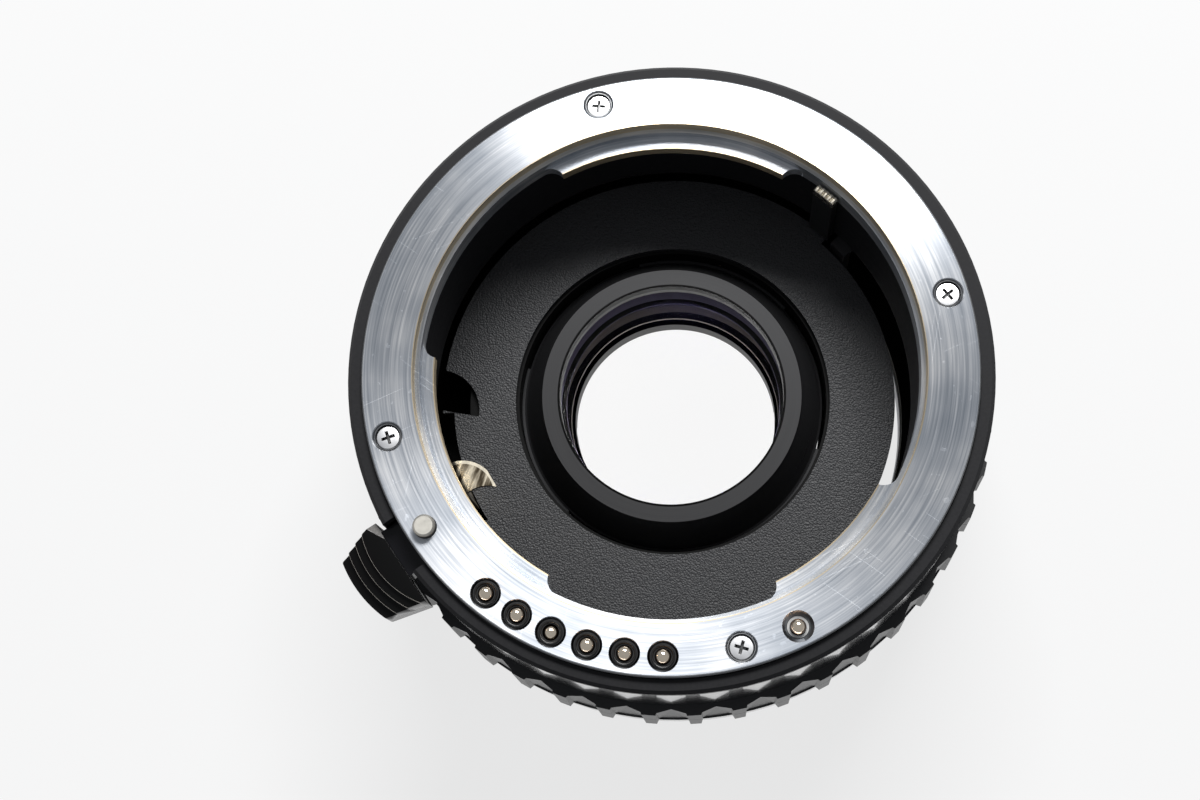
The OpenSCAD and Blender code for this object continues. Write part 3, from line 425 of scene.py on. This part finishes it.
def knob_highlight_and_wear():
    """Glossy black paint with pale lines along the knob's three steps, painted highlights where their edges
    catch the light together with paint wear, and a paler grey over its cut facet.
    """
    look = Look("knob_highlight_and_wear", Specular_IOR_Level=0.12)
    reach = look.away_from(KNOB_OUT - KNOB_ARC, LOCK_ANGLE)
    # Pale lines along the three steps: painted highlights where the step edges catch the light, together with
    # paint wear.
    step_highlight_and_wear = sum(look.line(reach, step_r, 0.03) for step_r, _ in KNOB_STEPS)
    patchy = step_highlight_and_wear * look.between(0.45, 1.0, look.noise(1800, 2.0))
    # A paler grey over the cut facet.
    facing = Matrix.Rotation(math.radians(LOCK_ANGLE), 3, "Z") @ FACET_NORMAL
    sockets = {0: look.place, 1: facing}
    above = look.node("ShaderNodeVectorMath", {"operation": "DOT_PRODUCT"}, sockets, "Value")
    facet = look.line(above, FACET_POINT.dot(FACET_NORMAL), 0.02)
    facet = facet * look.between(0.3, 1.0, look.noise(6000, 2.0))
    paint = look.mix(patchy, (0.003, 0.003, 0.003), (0.30, 0.28, 0.25))
    look.feed("Base Color", look.mix(facet, paint, (0.16, 0.155, 0.15)))
    look.feed("Roughness", look.between(0.12, 0.3, patchy))
    look.bump(look.noise(900, 3.0), 0.006, 0.5)
    return look


def red_enamel():
    """Red paint of the mount's index dot."""
    look = Look("red_enamel", Coat_Weight=0.5, Coat_Roughness=0.08)
    flow = look.noise(1500, 2.0)
    look.feed("Base Color", look.mix(flow, (0.45, 0.012, 0.01), (0.6, 0.02, 0.015)))
    look.feed("Roughness", look.between(0.2, 0.32, flow))
    return look


def copper_foil():
    """Amber film with copper tracks that run along the axis."""
    look = Look("copper_foil", Coat_Weight=0.4, Coat_Roughness=0.15)
    x, y, _ = look.axes()
    angle = look.maths("ARCTAN2", y, x)
    track = look.maths("SINE", angle * 180.0) > 0.1
    look.feed("Base Color", look.mix(track, (0.42, 0.16, 0.03), (0.62, 0.27, 0.1)))
    look.feed("Metallic", track * 0.8)
    look.feed("Roughness", look.between(0.25, 0.4, look.noise(1200, 2.0)))
    return look


def coated_glass():
    """Lens glass that lets light through plainly and gives back a little violet."""
    look = Look("coated_glass", Transmission_Weight=1.0, IOR=1.005, Roughness=0.0, Specular_IOR_Level=0.0)
    smear = look.noise(60, 2.0)
    look.feed("Base Color", look.mix(smear, (0.99, 0.99, 0.99), (1.0, 1.0, 1.0)))
    coating = look.node("ShaderNodeBsdfGlossy", {}, {"Color": (0.34, 0.29, 0.80, 1.0), "Roughness": 0.1})
    look.surface(look.between(0.0006, 0.001, smear), coating)
    return look


def white_table():
    """White table: lit as white for the camera and in reflections, and still shaded under the object."""
    look = Look("white_table", Roughness=0.9)
    look.feed("Base Color", look.mix(look.noise(9, 2.0), (0.88, 0.88, 0.88), (0.93, 0.93, 0.93)))
    ray = look.outputs(look.node("ShaderNodeLightPath", {}, {}))
    through = ray["Is Transmission Ray"]
    seen = ray["Is Camera Ray"] + ray["Is Glossy Ray"] + through
    sockets = {"Color": (1, 1, 1, 1), "Strength": through * 0.22 + 0.86}
    glow = look.node("ShaderNodeEmission", {}, sockets)
    look.surface(look.maths("MINIMUM", seen, 1.0) * 0.88, glow)
    return look


# Mesh tools

def finish_piece(name, bm, look, body, smooth_angle, replaced=None):
    """Makes the bmesh a piece that rides on a body, in the place of a CAD node if it has one."""
    bmesh.ops.remove_doubles(bm, verts=bm.verts, dist=0.002)
    bmesh.ops.recalc_face_normals(bm, faces=bm.faces)
    bmesh.ops.scale(bm, vec=(MM, MM, MM), verts=bm.verts)
    for face in bm.faces:
        face.smooth = True
    for edge in bm.edges:
        edge.smooth = len(edge.link_faces) == 2 and edge.calc_face_angle(0) < math.radians(smooth_angle)
    piece = drawn(name, bm)
    piece.data.materials.append(look.material)
    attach(piece, body)
    if replaced:
        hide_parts(replaced)
    return piece


def drawn(name, bm):
    """Puts a bmesh in an object of its own."""
    mesh = bpy.data.meshes.new(name)
    bm.to_mesh(mesh)
    bm.free()
    item = bpy.data.objects.new(name, mesh)
    bpy.context.collection.objects.link(item)
    return item


def combined(body, cutters, operation="DIFFERENCE"):
    """Cuts closed meshes out of a closed mesh, or keeps what they share, and returns a new bmesh."""
    target = drawn("draft", body)
    tools = [drawn("draft", cutter) for cutter in cutters]
    for tool in tools:
        cut = target.modifiers.new("cut", "BOOLEAN")
        cut.object = tool
        cut.operation = operation
        cut.solver = "EXACT"
    result = bmesh.new()
    result.from_object(target, bpy.context.evaluated_depsgraph_get())
    for item in [target] + tools:
        bpy.data.objects.remove(item)
    return result


def placed(radius, angle, height=0.0, turn=0.0):
    """Turns a piece on its own axis, then sets it at a radius, angle and height."""
    return (Matrix.Rotation(math.radians(angle), 4, "Z") @ Matrix.Translation((radius, 0, height))
            @ Matrix.Rotation(math.radians(turn), 4, "Z"))


def rotate(bm, degrees, axis="Z"):
    turn = Matrix.Rotation(math.radians(degrees), 3, axis)
    bmesh.ops.rotate(bm, cent=(0, 0, 0), matrix=turn, verts=bm.verts)


def turned(bm, profile, segments=128, angle=360):
    """Spins a closed profile of (radius, height) points about the axis and returns its new vertices."""
    before = set(bm.verts)
    points = [bm.verts.new((r, 0, z)) for r, z in profile]
    edges = [bm.edges.new((a, b)) for a, b in zip(points, points[1:] + points[:1])]
    geometry = points + edges
    if angle != 360:
        geometry.append(bm.faces.new(points))
    bmesh.ops.spin(bm, geom=geometry, cent=(0, 0, 0), axis=AXIS, steps=segments, angle=math.radians(angle),
                   use_merge=angle == 360, use_duplicate=False)
    return [v for v in bm.verts if v not in before]


def prism(points, low, high):
    """Extrudes an outline of (x, y) points from one height to another."""
    bm = bmesh.new()
    base = bm.faces.new([bm.verts.new((x, y, low)) for x, y in points])
    raised = bmesh.ops.extrude_face_region(bm, geom=[base])["geom"]
    top = [v for v in raised if isinstance(v, bmesh.types.BMVert)]
    bmesh.ops.translate(bm, vec=(0, 0, high - low), verts=top)
    bmesh.ops.recalc_face_normals(bm, faces=bm.faces)
    return bm


def arc_points(centre, radius, start_angle, end_angle, steps):
    """Points along an arc, angles in degrees."""
    turn = [math.radians(start_angle + (end_angle - start_angle) * k / steps) for k in range(steps + 1)]
    return [(centre[0] + radius * math.cos(t), centre[1] + radius * math.sin(t)) for t in turn]


def box(size, centre, end_scale=1.0):
    """A block whose lower end is scaled."""
    bm = bmesh.new()
    bmesh.ops.create_cube(bm, size=1.0)
    bmesh.ops.scale(bm, vec=size, verts=bm.verts)
    low = [v for v in bm.verts if v.co.z < 0]
    bmesh.ops.scale(bm, vec=(end_scale, end_scale, 1), verts=low)
    bmesh.ops.translate(bm, vec=centre, verts=bm.verts)
    return bm


def sharp_edges(bm, angle):
    """Edges that turn by more than an angle in radians."""
    return [e for e in bm.edges if len(e.link_faces) == 2 and e.calc_face_angle(0) > angle]


def soften(bm, edges, width, segments):
    bmesh.ops.bevel(bm, geom=edges, offset=width, offset_type="OFFSET", affect="EDGES", segments=segments,
                    profile=0.5, material=-1, clamp_overlap=True)


# Detailed pieces

def cross_screw(head_r, shank_r, length):
    """One pan-head screw with a tapered cross recess, its head's top at z = 0."""
    head_h, tip_r = 0.5, 0.001
    crown = [(tip_r, 0.0), (head_r * 0.62, -0.005), (head_r - 0.1, -0.05), (head_r, -0.16), (head_r, -head_h)]
    shank = [(shank_r, -head_h), (shank_r, -head_h - length), (tip_r, -head_h - length)]
    bm = bmesh.new()
    turned(bm, crown + shank, 64)
    bmesh.ops.remove_doubles(bm, verts=bm.verts, dist=0.004)
    bmesh.ops.recalc_face_normals(bm, faces=bm.faces)
    arm, arm_w, arm_h, arm_z, taper = head_r * 1.4, 0.36, 0.7, -0.1, 0.5
    recess = [box((arm, arm_w, arm_h), (0, 0, arm_z), taper), box((arm_w, arm, arm_h), (0, 0, arm_z), taper)]
    return combined(bm, recess)


def screws(name, node, bolt_r, height, places, length, over=0):
    """Equal screws on a bolt circle at (angle, turn) places, tipped over by an angle to face the rear."""
    one = drawn("one_screw", cross_screw(head_r=1.15, shank_r=0.8, length=length))
    bm = bmesh.new()
    for angle, turn in places:
        before = set(bm.verts)
        bm.from_mesh(one.data)
        matrix = placed(bolt_r, angle, height, turn) @ Matrix.Rotation(math.radians(over), 4, "X")
        bmesh.ops.transform(bm, matrix=matrix, verts=[v for v in bm.verts if v not in before])
    bpy.data.objects.remove(one)
    return finish_piece(name, bm, screw_metal, "housing", 32, node)


def knob():
    """The release knob: stepped arcs between tapered sides, a cut facet, and softened edges."""
    bottom, lowest, inner_arc, half_sweep = -6.5, -3.3, 4.0, 0.9
    long_side, short_side, narrowing = 5.45, 3.55, 1.25
    corner_r, edge_r, sharp = 0.45, 0.07, 0.6
    steps = [(inner_arc, bottom), (KNOB_ARC, bottom), (KNOB_ARC, lowest)]
    for r, top in reversed(KNOB_STEPS):
        steps += [(r, steps[-1][1]), (r, top)]
    steps.append((inner_arc, steps[-1][1]))
    bm = bmesh.new()
    points = [bm.verts.new((r * math.cos(-half_sweep), r * math.sin(-half_sweep), z)) for r, z in steps]
    face = bm.faces.new(points)
    bmesh.ops.spin(bm, geom=[face] + points + list(face.edges), cent=(0, 0, 0), axis=AXIS, steps=40,
                   angle=2 * half_sweep, use_merge=False, use_duplicate=False)
    bmesh.ops.translate(bm, vec=(KNOB_OUT - KNOB_ARC, 0, 0), verts=bm.verts)
    taper = narrowing / (KNOB_OUT - KNOB_IN)
    cuts = [((KNOB_IN, 0, 0), (-1, 0, 0)), ((KNOB_IN, long_side, 0), (taper, 1, 0)),
            ((KNOB_IN, -short_side, 0), (taper, -1, 0)), (FACET_POINT, FACET_NORMAL)]
    for point, normal in cuts:
        everything = list(bm.verts) + list(bm.edges) + list(bm.faces)
        bmesh.ops.bisect_plane(bm, geom=everything, dist=1e-5, plane_co=point, plane_no=normal,
                               clear_outer=True)
        bmesh.ops.holes_fill(bm, edges=[e for e in bm.edges if e.is_boundary], sides=0)
    bmesh.ops.remove_doubles(bm, verts=bm.verts, dist=0.003)
    bmesh.ops.recalc_face_normals(bm, faces=bm.faces)
    corners = [e for e in sharp_edges(bm, sharp) if e.verts[0].co.x > KNOB_IN + 0.5
               and abs((e.verts[0].co - e.verts[1].co).normalized().z) > 0.9]
    soften(bm, corners, corner_r, 4)
    soften(bm, sharp_edges(bm, sharp), edge_r, 2)
    rotate(bm, LOCK_ANGLE)
    return finish_piece("knob", bm, knob_paint, "release", 30, "release_knob")


def blade():
    """The stop-down blade: a sheet that rolls over into its stem, cut to a fan with one hollow edge."""
    top, sheet, inner, outer, bend, stem_foot = -5.0, 0.6, 18.5, 22.9, 0.9, -14.2
    fan_r, hollow_at, hollow_r = 3.37, 21.77, 3.05
    roll = [(outer - bend + r * math.sin(t), top - bend + r * math.cos(t))
            for r, turns in ((bend, range(0, 91, 10)), (bend - sheet, range(90, -1, -10)))
            for t in map(math.radians, turns)]
    stem = [(outer, stem_foot), (outer - sheet, stem_foot)]
    solid = bmesh.new()
    turned(solid, [(inner, top)] + roll[:10] + stem + roll[10:] + [(inner, top - sheet)], 36, 18)
    rotate(solid, -12)
    bmesh.ops.recalc_face_normals(solid, faces=solid.faces)
    round_edge = arc_points((BLADE_AT, 0), fan_r, 0, -164, 48)
    hollow_edge = arc_points((hollow_at, hollow_r), hollow_r, 223, 270, 12)
    bm = combined(solid, [prism(round_edge + hollow_edge, -16, -4)], "INTERSECT")
    soften(bm, sharp_edges(bm, 0.9), 0.1, 3)
    rotate(bm, BLADE_ANGLE)
    return finish_piece("blade", bm, blade_metal, "stop_down", 30, "stop_down_blade")


def ribbed_tab():
    """The head of the coupling arm, with ribs across its top and its inner face."""
    inner, outer, top, low, sweep, ribs, groove_w = 22.7, 23.45, -2.0, -3.2, 6, 5, 0.2
    solid = bmesh.new()
    turned(solid, [(inner, low), (outer, low), (outer, top), (inner, top)], 12, sweep)
    bmesh.ops.recalc_face_normals(solid, faces=solid.faces)
    grooves = []
    for k in range(ribs + 1):
        groove = box((3.0, groove_w, groove_w), (0, 0, 0))
        rotate(groove, 45, "X")
        place = placed((inner + outer) / 2, sweep * k / ribs, top)
        bmesh.ops.transform(groove, matrix=place, verts=groove.verts)
        grooves.append(groove)
    bm = combined(solid, grooves)
    soften(bm, sharp_edges(bm, 1.2), 0.03, 2)
    rotate(bm, 41.5)
    return finish_piece("ribbed_tab", bm, tab_metal, "aperture_coupling", 30, "coupling_tab")


def collars():
    """Raised rounded lips round the six contact pins' bores, below the flange's face."""
    profile = [(0.88, -0.3), (0.88, -0.16), (0.92, -0.09), (1.0, -0.06), (1.07, -0.1), (1.1, -0.18),
               (1.1, -0.3)]
    bm = bmesh.new()
    for angle in CONTACT_ANGLES[:6]:
        bmesh.ops.transform(bm, matrix=placed(BOLT_R, angle), verts=turned(bm, profile, 48))
    return finish_piece("contact_collars", bm, insulator, "housing", 40)


def coil(name, node, angle, bottom, top, radius, wire, turns, travel):
    """A wound compression spring round its pin."""
    bm = bmesh.new()
    steps = 20 * turns
    bmesh.ops.create_circle(bm, cap_ends=True, radius=wire / 2, segments=10)
    rotate(bm, 90, "X")
    bmesh.ops.translate(bm, vec=(radius, 0, bottom + wire / 2), verts=bm.verts)
    rise = (top - bottom - wire) / steps
    bmesh.ops.spin(bm, geom=list(bm.verts) + list(bm.edges) + list(bm.faces), cent=(0, 0, 0), axis=AXIS,
                   dvec=(0, 0, rise), steps=steps, angle=2 * math.pi * turns, use_merge=False,
                   use_duplicate=False)
    bmesh.ops.transform(bm, matrix=placed(BOLT_R, angle), verts=bm.verts)
    piece = finish_piece(name, bm, spring_steel, "housing", 60, node)
    1 - travel / (top - bottom)
    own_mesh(piece)
    return piece


def dress(nodes, look):
    """Gives CAD nodes a finish."""
    for name in nodes:
        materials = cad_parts[name].data.materials
        if not materials:
            materials.append(look.material)
        for index in range(len(materials)):
            materials[index] = look.material


# The object

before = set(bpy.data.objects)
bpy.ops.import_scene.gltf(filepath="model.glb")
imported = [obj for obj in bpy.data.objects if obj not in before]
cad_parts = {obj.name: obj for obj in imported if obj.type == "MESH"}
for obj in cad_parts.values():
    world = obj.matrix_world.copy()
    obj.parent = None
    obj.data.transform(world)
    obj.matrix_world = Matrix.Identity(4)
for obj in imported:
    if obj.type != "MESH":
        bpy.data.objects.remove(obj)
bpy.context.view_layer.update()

screw_metal = screw_plating()
blade_metal = brushed_blade()
tab_metal = nickel("tab_metal", (0.74, 0.68, 0.57), 0.2)
spring_steel = nickel("spring_steel", (0.62, 0.62, 0.63), 0.22)
knob_paint = knob_highlight_and_wear()
insulator = moulded("insulator", (0.004, 0.004, 0.004), 0.3, 3000, 0.01)
deep_black = moulded("deep_black", (0.0015, 0.0015, 0.0015), 0.6, 1800, 0.01, 0.1)
matt_black = moulded("matt_black", (0.004, 0.004, 0.005), 0.5, 1800, 0.03, 0.25)
slide_black = moulded("knob_black", (0.004, 0.004, 0.005), 0.12, 900, 0.006, 0.2)
grey_nylon = moulded("grey_nylon", (0.24, 0.24, 0.235), 0.4, 2500, 0.01)
nose_black = turned_black("black_nose", (0.010, 0.010, 0.011), (0.018, 0.018, 0.019), 0.24)
guard_black = turned_black("core_black", (0.016, 0.016, 0.017), (0.028, 0.028, 0.030), 0.4)
ring_black = turned_black("rear_ring", (0.035, 0.032, 0.030), (0.065, 0.060, 0.056), 0.36)
# Tones for the pins and the lock pin, from low on the side to the tip: the dark low tones are painted shade.
pin_tones_with_shade = [(0.1, (0.03, 0.02, 0.015)), (0.45, (0.40, 0.24, 0.14)), (0.8, (0.90, 0.78, 0.62))]
lock_pin_tones_with_shade = [(0.1, (0.05, 0.04, 0.03)), (0.55, (0.16, 0.13, 0.10)), (0.8, (0.52, 0.50, 0.45))]

screws("front_screws", "front_mount_screws", BOLT_R, FRONT_SCREW_Z,
       [(10, 25), (100, -20), (190, 5), (280, 60)], 4.6)
screws("rear_screws", "rear_mount_screws", REAR_BOLT_R, REAR_SCREW_Z,
       [(58, 10), (122, 50), (186, 80), (278, 30), (310, 65)], 4.0, 180)
knob()
for number, angle in enumerate(CONTACT_ANGLES, 1):
    sunk = 0.35 if number == 3 else 0
    coil(f"contact_coil_{number}", f"contact_spring_{number}", angle, bottom=-9.03, top=-3.27 - sunk,
         radius=0.8, wire=0.22, turns=8, travel=0.5)
coil("lock_coil", "lock_spring", LOCK_ANGLE, bottom=-9.58, top=-4.92,
     radius=1.12, wire=0.3, turns=7, travel=1.3)
collars()
blade()
ribbed_tab()

dress(["front_mount_ring", "rear_mount_ring"], brushed_steel())
dress([f"contact_pin_{n}" for n in (1, 2, 4, 5, 6, 7)], pin_plating("pin_plating", 0.45, 0.75, 0.05, *pin_tones_with_shade))
dress(["contact_pin_3"], pin_plating("low_pin_plating", 0.1, 0.75, 0.05, *pin_tones_with_shade))
dress(["lock_pin"], pin_plating("nickel_with_painted_shade", 1.0, 0.5, 0.36, *lock_pin_tones_with_shade))
dress(["coupling_spring", "stop_down_spring"], spring_steel)
dress(["cam_followers", "idler_axle", "gear_bridge", "focus_coupler"], spring_steel)
dress(["cam_ring", "idler_gear"], turned_brass())
dress(["rear_contact_pads"], nickel("gold_pads", (0.9, 0.7, 0.36), 0.16))
dress(["front_rim"], rim_paint())
dress(["main_housing"], gloss_black())
dress(["grip_ring"], grip_paint())
dress(["release_slide"], slide_black)
dress(["mount_index_dot"], red_enamel())
dress(["throat_sleeve"], matt_black)
dress(["baffle_plate"], grained_plate())
dress(["contact_block", "data_contact_block", "rear_contact_insulators"], insulator)
dress(["data_contact_collar"], grey_nylon)
dress(["contact_flex"], copper_foil())
dress(["aperture_coupling_ring"], edged_ring())
dress(["stop_down_ring", "core_frame"], deep_black)
dress(["rear_guard"], guard_black)
dress(["optical_barrel"], nose_black)
dress(["front_retaining_ring"], face_ring())
dress(["front_spacer"], stop_ring("front_stop", 11.45, 10.95, (0.30, 0.27, 0.40)))
dress(["rear_spacer"], stop_ring("rear_stop", 11.62, 10.95, (0.60, 0.52, 0.48)))
dress(["rear_retaining_ring"], ring_black)
dress([f"lens_element_{n}" for n in range(1, 5)], coated_glass())

# Table, light and camera

top = bmesh.new()
bmesh.ops.create_grid(top, x_segments=8, y_segments=8, size=1.6)
bmesh.ops.translate(top, vec=(0, 0, TABLE_Z * MM), verts=top.verts)
table = drawn("table", top)
table.data.materials.append(white_table().material)


def soft_box(name, azimuth, elevation, distance, width, depth, power):
    """A rectangular lamp that faces the part's front, its distance and sides in metres."""
    light = bpy.data.lights.new(name, "AREA")
    light.shape = "RECTANGLE"
    light.size, light.size_y = width, depth
    light.energy = power
    a, e = math.radians(azimuth), math.radians(elevation)
    way = Vector((math.cos(e) * math.cos(a), math.cos(e) * math.sin(a), math.sin(e)))
    lamp = bpy.data.objects.new(name, light)
    lamp.location = way * distance
    lamp.rotation_euler = way.to_track_quat("Z", "Y").to_euler()
    bpy.context.collection.objects.link(lamp)


soft_box("main_box", azimuth=76, elevation=50, distance=0.5, width=0.32, depth=0.15, power=5.1)

world = bpy.data.worlds.new("studio")
world.use_nodes = True
world.node_tree.nodes["Background"].inputs["Color"].default_value = (0.86, 0.89, 0.94, 1)
world.node_tree.nodes["Background"].inputs["Strength"].default_value = 0.4
bpy.context.scene.world = world
bpy.context.scene.view_settings.view_transform = "Standard"

lens = bpy.data.cameras.new("camera")
lens.sensor_width = 36
lens.lens = 52.484
camera = bpy.data.objects.new("camera", lens)
camera.location = (0.002477, -0.041618, 0.158348)
camera.rotation_euler = Euler([math.radians(v) for v in (13.4919, 4.1576, -3.7801)])
bpy.context.collection.objects.link(camera)
bpy.context.scene.camera = camera
